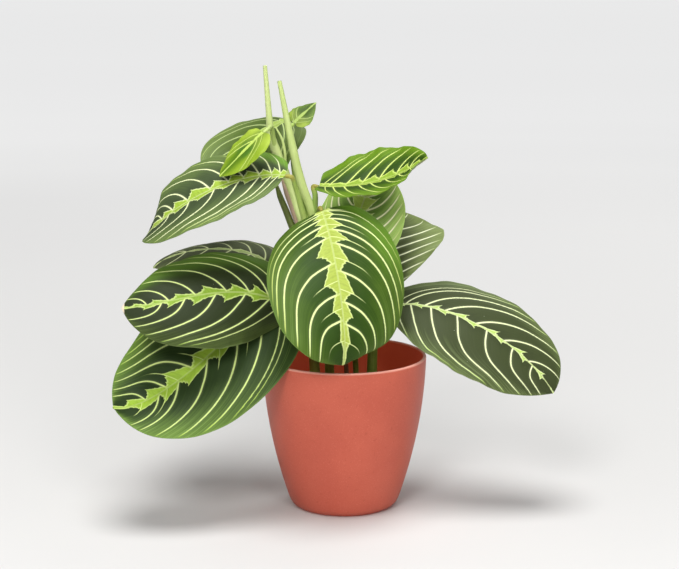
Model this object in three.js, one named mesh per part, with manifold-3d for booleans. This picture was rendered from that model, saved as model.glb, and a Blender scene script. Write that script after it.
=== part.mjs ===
// Potted prayer plant in a round tapered pot, millimetres, +Z up.
// Origin: centre of the pot's flat underside. +X is the viewer's right, -Y faces the viewer.
import * as THREE from 'three';
import { mergeVertices } from 'three/addons/utils/BufferGeometryUtils.js';
import Module from 'manifold-3d';

const wasm = await Module();
wasm.setup();

// Pot: a 106 mm wide, 99 mm tall cover pot with a bellied taper and a rolled-in foot
const POT_HEIGHT = 99;
const RIM_RADIUS = 53;
const FOOT_RADIUS = 28;
const FOOT_ROUND_HEIGHT = 7;
const FOOT_ROUNDING = 0.8;
const WALL = 2.2;
const FLOOR = 3;
const TAPER_SLOPE = 0.0228;
const TAPER_CURVE = 0.0017;
const POT_SIDES = 56;
const FOOT_STEPS = 5;
const INNER_CORNER = 8;

// Soil, level with the foot of the stalks
const SOIL_LEVEL = 72;
const SOIL_LUMP = 1.2;
const SOIL_SIDES = 36;
const SEAT_GAP = 0.3;
const HOLE_CLEARANCE = 0.5;

// Blades
const BLADE_THICKNESS = 0.8;
const RIB_DEPTH = 1.3;
const RIB_HALF_WIDTH = 1.8;
const BLADE_ROWS = 14;
const LEAF_BASE_HALF_WIDTH = 1.6;
const LEAF_TIP_HALF_WIDTH = 0.5;
const TIP_POINT = 0.06;
const STALK_TO_BLADE_GAP = 0.5;

// Each leaf: four points steer its midrib from the stalk to the tip, face is the way its
// upper side looks, folds and droops are degrees for its left and right half, seen from above
// with the tip ahead. fullness shapes the base (small is round, large is tapered), sides
// narrows one half of a leaf that has not opened evenly.
const LEAVES = {
  leaf_front: {
    midrib: [[-14, -14, 195], [-6, -41, 180], [4, -77, 122], [-1, -64, 107]],
    halfWidth: 44, face: [0.2, -0.97, 0.14], fold: [6, 4], droop: [36, 20], twist: -36,
    lobe: 3, wave: 0.8, waves: 2.5, colour: 0x3d6b2c,
  },
  leaf_left_middle: {
    midrib: [[-33, -23, 135], [-70, -37, 159], [-102, -53, 142], [-137, -50, 140]],
    halfWidth: 35.5, face: [-0.28, -0.79, 0.55], fold: [1, 2], droop: [35, 35], twist: 6,
    lobe: 3, wave: 0.8, waves: 3, colour: 0x3a5230,
  },
  leaf_left_low: {
    midrib: [[-41, -3, 147], [-65, -35, 125], [-117, -38, 69], [-142, -62, 80]],
    halfWidth: 46, face: [0.1, -0.74, 0.66], fold: [12, 6], droop: [15, 20], twist: 16,
    lobe: 3, wave: 0.8, waves: 2.5, colour: 0x476f31,
  },
  leaf_left_back: {
    midrib: [[-46, 14, 150], [-53, 22, 171], [-112, 31, 166], [-125, 26, 151]],
    halfWidth: 33, face: [-0.05, -0.41, 0.91], fold: [8, -10], droop: [20, 34], twist: 22,
    lobe: 3, wave: 1, waves: 3, colour: 0x465239,
  },
  leaf_upper_left: {
    midrib: [[-37, -18, 218], [-70, -9, 220], [-111, -29, 199], [-126, -10, 177]],
    halfWidth: 34, face: [-0.06, -0.46, 0.89], fold: [11, 8], droop: [15, 20], twist: 2,
    lobe: 2, wave: 0.7, waves: 3, colour: 0x4d7332,
  },
  leaf_young_left: {
    midrib: [[-51, -10, 244], [-56, -13, 240], [-65, -15, 230], [-78, -16, 217]],
    halfWidth: 15.5, sides: [1, 0.7], face: [-0.15, -0.56, 0.82], fold: [13, 7], droop: [10, 20], twist: 2,
    lobe: 2, wave: 0.5, waves: 2, colour: 0x93b533,
  },
  leaf_top_back: {
    midrib: [[-34, 42, 246], [-45, 28, 251], [-78, 29, 221], [-70, 32, 197]],
    halfWidth: 32, face: [0.4, -0.32, 0.86], fold: [6, -8], droop: [15, 35], twist: -22,
    lobe: 3, wave: 0.8, waves: 2.5, colour: 0x76904f,
  },
  leaf_upper_right: {
    midrib: [[-16, 6, 208], [10, -2, 207], [37, 4, 214], [52, -9, 228]],
    halfWidth: 27, face: [0.06, -0.45, 0.89], fold: [15, 18], droop: [5, 0], twist: 2,
    lobe: 3, wave: 0.9, waves: 3.5, colour: 0x5c8a30,
  },
  leaf_right_upright: {
    midrib: [[1, 4, 152], [4, 11, 177], [14, 22, 202], [22, 31, 216]],
    halfWidth: 31, face: [-0.19, -0.91, 0.37], fold: [-3, 9], droop: [35, 15], twist: -4,
    lobe: 3, wave: 0.8, waves: 2.5, colour: 0x4c6f33,
  },
  leaf_right_back: {
    midrib: [[34, 14, 140], [27, 20, 156], [23, 30, 173], [24, 42, 190]],
    halfWidth: 41, face: [0.12, -0.99, 0.06], fold: [8, 9], droop: [20, 13], twist: 15,
    fullness: 0.82, lobe: 0, wave: 1.2, waves: 3.5, colour: 0x64794a,
  },
  leaf_right_low: {
    midrib: [[30, -6, 133], [67, -9, 139], [116, -27, 110], [132, -31, 81]],
    halfWidth: 36, face: [0.12, -0.65, 0.75], fold: [3, 2], droop: [30, 30], twist: 18,
    lobe: 3, wave: 0.8, waves: 3.5, colour: 0x43522f,
  },
  leaf_young_right: {
    midrib: [[-32, 8, 248], [-28, 10, 252], [-24, 13, 255], [-18, 16, 260]],
    halfWidth: 8, face: [0.08, -0.57, 0.82], fold: [6, 8], droop: [25, 20], twist: 0,
    lobe: 1, wave: 0.3, waves: 2, colour: 0x86a748,
  },
};

// Stalks: each is a list of [x, y, z, radius]; a stalk that ends at a blade names the leaf
const STALKS = {
  cane_left: {
    colour: 0x93b04f,
    limbs: [
      [[-18, -6, 62.3, 3.4], [-18, -6, 76, 3.4], [-19.5, -6, 100, 3.3], [-21, -4, 140, 3.2], [-26, 1, 184, 3],
        [-31.2, 5, 196.5, 2.8], [-37.4, 9, 214.5, 2.9], [-43, 10, 228.5, 3.1], [-46.5, 9, 239.5, 2.6],
        [-47.7, 8, 253.5, 2], [-50, 7, 284, 1.3]],
      { leaf: 'leaf_young_left', path: [[-44.5, 9, 232, 1.7], [-46, 4, 245, 1.5]] },
      { leaf: 'leaf_upper_left', path: [[-22, -3, 160, 1.8], [-24.5, -3.5, 183, 1.9], [-27.6, -5.5, 197, 1.8],
        [-30.5, -11, 209, 1.7]] },
      { leaf: 'leaf_left_middle', path: [[-19.5, -6, 98, 1.8], [-17, -18, 110, 1.8], [-21, -24, 122, 1.7]] },
      { leaf: 'leaf_left_low', path: [[-20.5, -4.5, 112, 1.8], [-26, 0, 138, 1.8]] },
      [[-24, 0, 158, 2.2], [-29, 4, 174, 2.2], [-35.5, 7, 190, 2], [-40.5, 8, 201, 1.6], [-43.5, 8, 209, 0.9]],
    ],
  },
  cane_right: {
    colour: 0x9ab957,
    limbs: [
      [[-9, 0, 62.3, 3], [-9, 0, 76, 3], [-10, 1, 100, 3], [-14, 3.5, 150, 3], [-20.5, 5.5, 190, 3],
        [-26, 6, 205.6, 2.8], [-30, 6, 220, 2.7], [-32.5, 6, 231.5, 2.6], [-36, 7, 248, 2.1],
        [-38.7, 7.5, 262.4, 1.7], [-41, 8, 274.3, 1.4]],
      { leaf: 'leaf_young_right', path: [[-31.5, 6, 228, 1.3], [-33.5, 7.5, 242, 1.2]] },
      { leaf: 'leaf_upper_right', path: [[-16, 4.5, 165, 1.8], [-18.6, 5, 190, 1.9], [-18.6, 6.5, 202, 1.8]] },
      { leaf: 'leaf_front', path: [[-16.5, 4, 172, 1.8], [-17.5, 1, 188, 1.8]] },
      { leaf: 'leaf_left_back', path: [[-11, 2, 108, 1.8], [-24, 9, 136, 1.7]] },
      { leaf: 'leaf_top_back', path: [[-19, 5, 176, 1.8], [-27, 9, 198, 1.8], [-32, 18, 215, 1.7],
        [-33, 32, 232, 1.6], [-30, 45, 243, 1.5]] },
    ],
  },
  shoot_right: {
    colour: 0x6f8f45,
    limbs: [
      [[18, 8, 62.3, 3.5], [18, 8, 76, 3.5], [18.5, 8, 100, 3.2], [19, 8, 116, 2.2]],
      { leaf: 'leaf_right_low', path: [[18.5, 8, 96, 2], [19.5, 3, 118, 1.9], [22, -3.5, 129, 1.8]] },
      { leaf: 'leaf_right_back', path: [[18.5, 8, 98, 2], [22, 11, 118, 1.8], [31, 12, 129, 1.7]] },
    ],
  },
  stalk_upright: {
    colour: 0x7d9a4a,
    limbs: [
      { leaf: 'leaf_right_upright', path: [[8, 4, 62.3, 1.9], [8, 4, 76, 1.9], [6.5, 3.5, 105, 1.8],
        [2, 1, 140, 1.6]] },
    ],
  },
  dry_stalk: {
    colour: 0x8a6a48,
    limbs: [
      [[2, -4, 62.3, 1.6], [2, -4, 76, 1.6], [1, -5, 96, 1.4], [-2, -5, 124, 1]],
    ],
  },
};
const STALK_SIDES = 8;
const STALK_STEP = 9;

// Outer radius of the pot's wall at height z, above the rounding of the foot
function potRadius(z) {
  const drop = POT_HEIGHT - z;
  return RIM_RADIUS - TAPER_SLOPE * drop - TAPER_CURVE * drop * drop;
}

// The rounding of the foot, from the flat underside up into the slope of the wall
function footCurve() {
  const slope = TAPER_SLOPE + 2 * TAPER_CURVE * (POT_HEIGHT - FOOT_ROUND_HEIGHT);
  const top = new THREE.Vector2(potRadius(FOOT_ROUND_HEIGHT), FOOT_ROUND_HEIGHT);
  const bottom = new THREE.Vector2(FOOT_RADIUS, 0);
  const corner = new THREE.Vector2(top.x - slope * FOOT_ROUND_HEIGHT, 0);
  return new THREE.CubicBezierCurve(
    bottom,
    bottom.clone().lerp(corner, FOOT_ROUNDING),
    top.clone().lerp(corner, FOOT_ROUNDING),
    top,
  );
}

function mesh(name, geometry, colour, roughness) {
  const material = new THREE.MeshStandardMaterial({ color: colour, roughness, metalness: 0 });
  const piece = new THREE.Mesh(geometry, material);
  piece.name = name;
  return piece;
}

function bufferFrom(points, triangles) {
  const geometry = new THREE.BufferGeometry();
  geometry.setAttribute('position', new THREE.Float32BufferAttribute(points, 3));
  geometry.setIndex(triangles);
  return geometry;
}

function toSolid(geometry) {
  const bare = geometry.clone();
  bare.deleteAttribute('normal');
  bare.deleteAttribute('uv');
  const merged = mergeVertices(bare, 1e-4);
  return new wasm.Manifold(new wasm.Mesh({
    numProp: 3,
    vertProperties: new Float32Array(merged.attributes.position.array),
    triVerts: new Uint32Array(merged.index.array),
  }));
}

function fromSolid(solid) {
  const result = solid.getMesh();
  return bufferFrom(Array.from(result.vertProperties), Array.from(result.triVerts));
}

function potGeometry() {
  const wallHeights = [18, 32, 48, 64, 80, 92];
  const profile = [new THREE.Vector2(0, 0), ...footCurve().getPoints(FOOT_STEPS)];
  for (const z of wallHeights) {
    profile.push(new THREE.Vector2(potRadius(z), z));
  }
  const rimCentre = RIM_RADIUS - WALL / 2;
  for (const angle of [0, 45, 90, 135, 180]) {
    const turn = THREE.MathUtils.degToRad(angle);
    profile.push(new THREE.Vector2(
      rimCentre + (WALL / 2) * Math.cos(turn),
      POT_HEIGHT - WALL / 2 + (WALL / 2) * Math.sin(turn),
    ));
  }
  for (const z of [...wallHeights].reverse()) {
    profile.push(new THREE.Vector2(potRadius(z) - WALL, z));
  }
  profile.push(new THREE.Vector2(potRadius(INNER_CORNER) - WALL, INNER_CORNER));
  profile.push(new THREE.Vector2(FOOT_RADIUS - WALL, FLOOR));
  profile.push(new THREE.Vector2(0, FLOOR));
  const lathe = new THREE.LatheGeometry(profile, POT_SIDES);
  lathe.rotateX(Math.PI / 2);
  return lathe;
}

// Soil surface: soft lumps that fade towards the wall
function soilHeight(x, y) {
  const lumps = Math.sin(0.31 * x + 0.8) * Math.cos(0.27 * y - 0.4) + 0.6 * Math.sin(0.16 * x - 0.23 * y + 2.1);
  return SOIL_LEVEL + SOIL_LUMP * lumps;
}

function soilGeometry() {
  const points = [];
  const triangles = [];
  const ringRadii = [0.16, 0.32, 0.48, 0.64, 0.8, 0.92];
  const edge = potRadius(SOIL_LEVEL) - WALL - 1.2;
  const rings = ringRadii.map((share) => [share * edge, null]);
  rings.push([edge, null]);
  for (const z of [SOIL_LEVEL - 4, 48, 32, 18, INNER_CORNER + 2]) {
    rings.push([potRadius(z) - WALL - 2 * SEAT_GAP, z]);
  }
  rings.push([FOOT_RADIUS - WALL - 2 * SEAT_GAP, FLOOR + SEAT_GAP]);
  points.push(0, 0, soilHeight(0, 0));
  for (const [radius, z] of rings) {
    for (let k = 0; k < SOIL_SIDES; k += 1) {
      const turn = (2 * Math.PI * k) / SOIL_SIDES;
      const x = radius * Math.cos(turn);
      const y = radius * Math.sin(turn);
      points.push(x, y, z === null ? soilHeight(x, y) : z);
    }
  }
  points.push(0, 0, FLOOR + SEAT_GAP);
  const last = points.length / 3 - 1;
  const at = (ring, k) => 1 + ring * SOIL_SIDES + (k % SOIL_SIDES);
  for (let k = 0; k < SOIL_SIDES; k += 1) {
    triangles.push(0, at(0, k), at(0, k + 1));
    for (let ring = 0; ring < rings.length - 1; ring += 1) {
      triangles.push(at(ring, k), at(ring + 1, k), at(ring + 1, k + 1));
      triangles.push(at(ring, k), at(ring + 1, k + 1), at(ring, k + 1));
    }
    triangles.push(last, at(rings.length - 1, k + 1), at(rings.length - 1, k));
  }
  return bufferFrom(points, triangles);
}

// A plain round hole in the soil for the foot of one stalk
function holeSolid([x, y, z, radius]) {
  const sides = 12;
  const clearRadius = (radius + HOLE_CLEARANCE) / Math.cos(Math.PI / sides);
  const bottom = z - SEAT_GAP;
  const depth = SOIL_LEVEL + 6 * SOIL_LUMP - bottom;
  const hole = new THREE.CylinderGeometry(clearRadius, clearRadius, depth, sides);
  hole.rotateX(Math.PI / 2);
  hole.translate(x, y, bottom + depth / 2);
  return toSolid(hole);
}

// Half-width share along a blade, 0 at the stalk and 1 at the tip
function outlineShare(t, fullness) {
  const bare = (s) => s ** fullness * Math.sqrt(1 - s) * Math.sqrt((1 - s) / (1 - s + TIP_POINT));
  let widest = 0;
  for (let s = 0.02; s < 1; s += 0.01) {
    widest = Math.max(widest, bare(s));
  }
  return bare(t) / widest;
}

// One point of a blade's upper side: t runs along the midrib, v across, -1 left to 1 right
function bladePoint(leaf, curve, t, v, halfWidth) {
  const centre = curve.getPoint(t);
  const along = curve.getTangent(t);
  const face = new THREE.Vector3(...leaf.face).normalize();
  const up = face.sub(along.clone().multiplyScalar(face.dot(along))).normalize();
  const side = along.clone().cross(up);
  const roll = THREE.MathUtils.degToRad(leaf.twist) * (t - 0.5);
  const upTurned = up.clone().multiplyScalar(Math.cos(roll)).addScaledVector(side, Math.sin(roll));
  const sideTurned = side.multiplyScalar(Math.cos(roll)).addScaledVector(up, -Math.sin(roll));
  const half = v < 0 ? 0 : 1;
  const reach = Math.abs(v);
  const fold = THREE.MathUtils.degToRad(leaf.fold[half]);
  const droop = THREE.MathUtils.degToRad(leaf.droop[half]);
  const width = halfWidth * (leaf.sides?.[half] ?? 1);
  const steps = 12;
  let out = 0;
  let rise = 0;
  for (let k = 0; k < steps; k += 1) {
    const slope = fold - (droop * reach * (k + 0.5)) / steps;
    out += (Math.cos(slope) * reach) / steps;
    rise += (Math.sin(slope) * reach) / steps;
  }
  const fullWidth = leaf.halfWidth;
  const sweep = leaf.lobe * Math.exp(-t / 0.1) * Math.min(1, (width * reach) / (0.4 * fullWidth)) ** 2;
  const ripple = leaf.wave * Math.sin(2 * Math.PI * leaf.waves * t + (half ? 0 : 1.9)) * reach ** 3
    * Math.min(1, halfWidth / (0.5 * fullWidth));
  return centre
    .addScaledVector(sideTurned, Math.sign(v) * out * width)
    .addScaledVector(upTurned, rise * width + ripple)
    .addScaledVector(along, -sweep);
}

function midribCurve(leaf) {
  return new THREE.CubicBezierCurve3(...leaf.midrib.map((point) => new THREE.Vector3(...point)));
}

function bladeGeometry(leaf) {
  const curve = midribCurve(leaf);
  const fullness = leaf.fullness ?? 0.45;
  const rows = [];
  for (let i = 0; i <= BLADE_ROWS; i += 1) {
    const t = (1 - Math.cos((Math.PI * i) / BLADE_ROWS)) / 2;
    const least = t < 0.5 ? LEAF_BASE_HALF_WIDTH : LEAF_TIP_HALF_WIDTH;
    const halfWidth = Math.max(least, leaf.halfWidth * outlineShare(t, fullness));
    const rib = Math.min(RIB_HALF_WIDTH, 0.5 * halfWidth) / halfWidth;
    const columns = [-1, -0.78, -0.5, -rib, 0, rib, 0.5, 0.78, 1];
    if (rib > 0.4) {
      columns[2] = -0.7;
      columns[6] = 0.7;
      columns[1] = -0.85;
      columns[7] = 0.85;
    }
    rows.push(columns.map((v) => bladePoint(leaf, curve, t, v, halfWidth)));
  }
  const width = rows[0].length;
  const count = rows.length;
  const top = rows.flat();
  const bottom = [];
  for (let i = 0; i < count; i += 1) {
    const t = (1 - Math.cos((Math.PI * i) / BLADE_ROWS)) / 2;
    for (let j = 0; j < width; j += 1) {
      const alongRow = rows[Math.min(i + 1, count - 1)][j].clone().sub(rows[Math.max(i - 1, 0)][j]);
      const acrossRow = rows[i][Math.min(j + 1, width - 1)].clone().sub(rows[i][Math.max(j - 1, 0)]);
      const down = acrossRow.cross(alongRow).normalize().negate();
      const ribHere = j === (width - 1) / 2 ? RIB_DEPTH * (1 - 0.7 * t) : 0;
      bottom.push(rows[i][j].clone().addScaledVector(down, BLADE_THICKNESS + ribHere));
    }
  }
  const points = [...top, ...bottom].flatMap((point) => point.toArray());
  const triangles = [];
  const under = count * width;
  const at = (i, j) => i * width + j;
  for (let i = 0; i < count - 1; i += 1) {
    for (let j = 0; j < width - 1; j += 1) {
      const [a, b, c, d] = [at(i, j), at(i, j + 1), at(i + 1, j + 1), at(i + 1, j)];
      triangles.push(a, b, c, a, c, d);
      triangles.push(under + a, under + c, under + b, under + a, under + d, under + c);
    }
  }
  const skirt = (a, b) => triangles.push(a, under + b, b, a, under + a, under + b);
  for (let j = 0; j < width - 1; j += 1) {
    skirt(at(0, j), at(0, j + 1));
    skirt(at(count - 1, j + 1), at(count - 1, j));
  }
  for (let i = 0; i < count - 1; i += 1) {
    skirt(at(i, width - 1), at(i + 1, width - 1));
    skirt(at(i + 1, 0), at(i, 0));
  }
  return bufferFrom(points, triangles);
}

// Where a stalk meets its blade: just short of the midrib's start, in line with it
function bladeSeat(leafName) {
  const curve = midribCurve(LEAVES[leafName]);
  const start = curve.getPoint(0);
  const heading = curve.getTangent(0);
  const face = new THREE.Vector3(...LEAVES[leafName].face).normalize();
  const up = face.sub(heading.clone().multiplyScalar(face.dot(heading))).normalize();
  const centre = start.addScaledVector(up, -(BLADE_THICKNESS + RIB_DEPTH) / 2);
  return { centre, heading };
}

// A round tapering limb through the given points, closed at both ends
function limbGeometry(limb) {
  const path = limb.path ?? limb;
  const points = path.map(([x, y, z]) => new THREE.Vector3(x, y, z));
  const radii = path.map((point) => point[3]);
  if (limb.leaf) {
    const { centre, heading } = bladeSeat(limb.leaf);
    points.push(centre.clone().addScaledVector(heading, -4));
    points.push(centre.clone().addScaledVector(heading, -STALK_TO_BLADE_GAP));
    radii.push(1.6, 1.3);
  }
  const curve = new THREE.CatmullRomCurve3(points, false, 'centripetal');
  const spans = [];
  for (let i = 0; i < points.length - 1; i += 1) {
    const pieces = Math.max(1, Math.round(points[i].distanceTo(points[i + 1]) / STALK_STEP));
    for (let k = 0; k < pieces; k += 1) {
      spans.push(i + k / pieces);
    }
  }
  spans.push(points.length - 1);
  const vertices = [];
  const triangles = [];
  let side = new THREE.Vector3(1, 0, 0);
  spans.forEach((place, row) => {
    const share = place / (points.length - 1);
    const centre = curve.getPoint(share);
    let along = curve.getTangent(share);
    if (limb.leaf && row === spans.length - 1) {
      along = bladeSeat(limb.leaf).heading;
    }
    side = side.clone().sub(along.clone().multiplyScalar(side.dot(along))).normalize();
    const other = along.clone().cross(side);
    const before = Math.min(Math.floor(place), points.length - 2);
    const radius = THREE.MathUtils.lerp(radii[before], radii[before + 1], place - before);
    for (let k = 0; k < STALK_SIDES; k += 1) {
      const turn = (2 * Math.PI * k) / STALK_SIDES;
      vertices.push(...centre.clone()
        .addScaledVector(side, radius * Math.cos(turn))
        .addScaledVector(other, radius * Math.sin(turn)).toArray());
    }
  });
  const rowCount = spans.length;
  const at = (row, k) => row * STALK_SIDES + (k % STALK_SIDES);
  for (let row = 0; row < rowCount - 1; row += 1) {
    for (let k = 0; k < STALK_SIDES; k += 1) {
      triangles.push(at(row, k), at(row, k + 1), at(row + 1, k + 1));
      triangles.push(at(row, k), at(row + 1, k + 1), at(row + 1, k));
    }
  }
  for (let k = 1; k < STALK_SIDES - 1; k += 1) {
    triangles.push(at(0, 0), at(0, k + 1), at(0, k));
    triangles.push(at(rowCount - 1, 0), at(rowCount - 1, k), at(rowCount - 1, k + 1));
  }
  return bufferFrom(vertices, triangles);
}

function stalkGeometry(stalk) {
  const solids = stalk.limbs.map((limb) => toSolid(limbGeometry(limb)));
  return fromSolid(solids.reduce((joined, next) => joined.add(next)));
}

const plant = new THREE.Group();
plant.add(mesh('pot', potGeometry(), 0xc4604a, 0.5));

let soil = toSolid(soilGeometry());
for (const stalk of Object.values(STALKS)) {
  const foot = (stalk.limbs[0].path ?? stalk.limbs[0])[0];
  soil = soil.subtract(holeSolid(foot));
}
plant.add(mesh('soil', fromSolid(soil), 0x3b2a20, 0.95));

for (const [name, stalk] of Object.entries(STALKS)) {
  plant.add(mesh(name, stalkGeometry(stalk), stalk.colour, 0.5));
}
for (const [name, leaf] of Object.entries(LEAVES)) {
  plant.add(mesh(name, bladeGeometry(leaf), leaf.colour, 0.45));
}

export default plant;
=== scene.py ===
"""Potted prayer plant: twelve patterned leaves on green stalks, soil and a terracotta-coloured pot.

Sizes are millimetres, turned into metres when a mesh is made. +X is right, -Y faces the camera.
"""

import math

import bpy
import numpy as np
from mathutils import Matrix, Vector


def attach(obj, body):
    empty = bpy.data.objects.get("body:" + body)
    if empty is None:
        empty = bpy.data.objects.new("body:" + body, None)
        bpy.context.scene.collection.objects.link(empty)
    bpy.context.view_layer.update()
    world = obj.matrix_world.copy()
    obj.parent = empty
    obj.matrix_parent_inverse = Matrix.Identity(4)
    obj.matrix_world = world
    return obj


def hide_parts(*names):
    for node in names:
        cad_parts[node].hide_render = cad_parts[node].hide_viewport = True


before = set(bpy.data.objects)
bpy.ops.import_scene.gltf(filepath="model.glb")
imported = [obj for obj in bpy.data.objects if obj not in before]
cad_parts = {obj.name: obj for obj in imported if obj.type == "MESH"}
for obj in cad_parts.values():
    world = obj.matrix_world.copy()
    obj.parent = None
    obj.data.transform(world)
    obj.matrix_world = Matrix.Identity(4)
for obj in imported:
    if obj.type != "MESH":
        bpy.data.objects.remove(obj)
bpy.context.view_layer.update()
MM = 0.001

# Pot and soil
POT_HEIGHT = 99.0
RIM_RADIUS = 53.0
FOOT_RADIUS = 28.0
FOOT_ROUND_HEIGHT = 7.0
FOOT_ROUNDING = 0.8
WALL = 2.2
FLOOR = 3.0
WALL_CLEARANCE = 0.6
TAPER_SLOPE = 0.0228
TAPER_CURVE = 0.0017
POT_SEGMENTS = 144
SOIL_LEVEL = 72.0
SOIL_LUMP = 1.2
SOIL_RINGS = 34
SOIL_SEGMENTS = 110
CRUMBS = 260
CRUMB_SEED = 12

# Blades
BLADE_THICKNESS = 0.6
RIB_DEPTH = 1.1
RIB_HALF_WIDTH = 1.8
CHANNEL_DEPTH = 0.35
CHANNEL_HALF_WIDTH = 1.6
STALK_END_HALF_WIDTH = 1.6
TIP_HALF_WIDTH = 0.5
PLEAT = 0.45
BLADE_COLUMNS = 64
BLADE_ROWS = 110
ARC_STEPS = 12
VEIN_BEND = 0.19
SEED_STEP = 3.7

# Stalks; a knuckle is the ochre joint just below a grown blade
STALK_SIDES = 16
STALK_STEPS = 9
SEAT_DEPTH = 1.05
NECK_RADIUS = 1.45
YOUNG_NECK_RADIUS = 1.2
STALK_END_RADIUS = 1.15
KNUCKLE_START = 9
KNUCKLE_END = 3

# Camera: straight ahead along +Y, looking slightly down
CAMERA_PLACE = (-3.0, -1150.0, 367.0)
CAMERA_DOWN = 10.93
CAMERA_LENS = 96.9

# Soft studio: (name, place, target, diameter, power), in metres and watts
PLANT_MIDDLE = (-0.02, 0, 0.15)
LIGHTS = (
    ("key", (-0.34, -1.35, 1.05), PLANT_MIDDLE, 0.5, 10.5),
    ("fill", (0.42, -1.35, 0.95), PLANT_MIDDLE, 0.5, 5.5),
    ("back", (0.5, 1.2, 1.2), PLANT_MIDDLE, 0.9, 4),
    ("top", (-0.05, -0.3, 1.9), (0, -0.1, 0), 1.0, 30),
)
ROOM_LIGHT = 0.17
FLOOR_SIZE = 60
GLOW_RANGE = 10.0
# Light of the floor far from the plant: (distance over GLOW_RANGE, strength)
FLOOR_GLOW = ((0.02, 0.0), (0.036, 0.05), (0.073, 0.16), (0.11, 0.27), (0.143, 0.37), (0.176, 0.49),
              (0.218, 0.59), (0.254, 0.63), (0.298, 0.65), (0.43, 0.68), (0.87, 0.7))


def rgb(red, green, blue):
    """A display colour, 0 to 255, as the light a shader works with."""
    channels = [channel / 255 for channel in (red, green, blue)]
    light = [c / 12.92 if c < 0.04045 else ((c + 0.055) / 1.055) ** 2.4 for c in channels]
    return (*light, 1.0)


def toned(colour, times=1.0, plus=0):
    """The same as rgb for a display colour made darker, or brighter, first."""
    return rgb(*[min(255, channel * times + plus) for channel in colour])


def smooth_step(low, high, value):
    share = np.clip((value - low) / (high - low), 0, 1)
    return share * share * (3 - 2 * share)


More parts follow.
